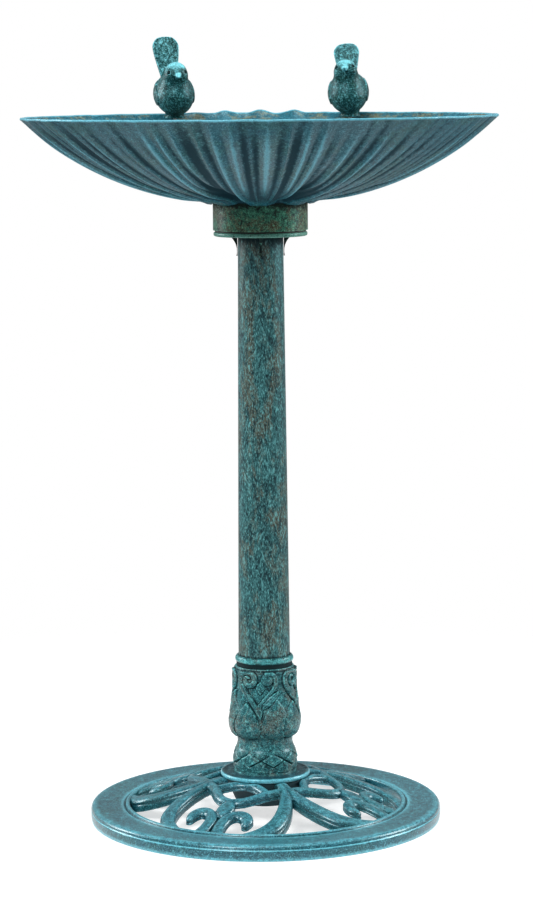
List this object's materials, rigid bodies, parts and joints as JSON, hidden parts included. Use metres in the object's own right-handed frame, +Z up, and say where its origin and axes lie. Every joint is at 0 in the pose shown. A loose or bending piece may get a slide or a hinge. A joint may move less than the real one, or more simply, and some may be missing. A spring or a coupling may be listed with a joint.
{
  "type": "bird bath",
  "caption": "Round fluted bird bath bowl with two small birds on its rim, on a slim tapered post with a leafy stem and a round openwork scroll foot.",
  "frame": {"origin": "on the ground under the centre of the post, in the plane of the base ring's underside", "axes": "+Z up along the post; -Y is the front, which the birds face; +X to the right seen from the front"},
  "size_m": [0.5, 0.5, 0.8354],
  "materials": {
    "bowl_paint": "dark green paint with pale blue-green dry-brushed ribs",
    "post_paint": "dark green and brown paint with sponged teal patches",
    "stem_paint": "dark green paint, pale teal on the raised leaves",
    "base_paint": "teal paint with pale blue-green worn tops and dark recesses",
    "bird_paint": "speckled dark and bright green paint",
    "rubber": "black rubber",
    "steel": "zinc-plated steel"
  },
  "bodies": {
    "stand": {"base": "base_paint", "base_saucer": "base_paint", "leaf_stem": "stem_paint", "ferrule_ring": "post_paint", "post": "post_paint", "post_head": "post_paint", "tie_rod": "steel", "bottom_washer": "steel", "bottom_nut": "steel", "top_washer": "steel", "top_nut": "steel"},
    "seat": {"seat_ring": "rubber"},
    "bowl": {"bowl": "bowl_paint", "bowl_collar": "post_paint", "collar_screws": "steel", "left_bird": "bird_paint", "right_bird": "bird_paint", "bird_screws": "steel", "bird_seals": "rubber"}
  },
  "joints": [
    {"name": "bowl_turn", "type": "hinge", "parent": "stand", "child": "seat", "pos_m": [0, 0, 0.6305], "axis": [0, 0, 1], "continuous": true},
    {"name": "bowl_lift", "type": "slide", "parent": "seat", "child": "bowl", "axis": [0, 0, 1], "range_m": [0, 0.05]}
  ]
}
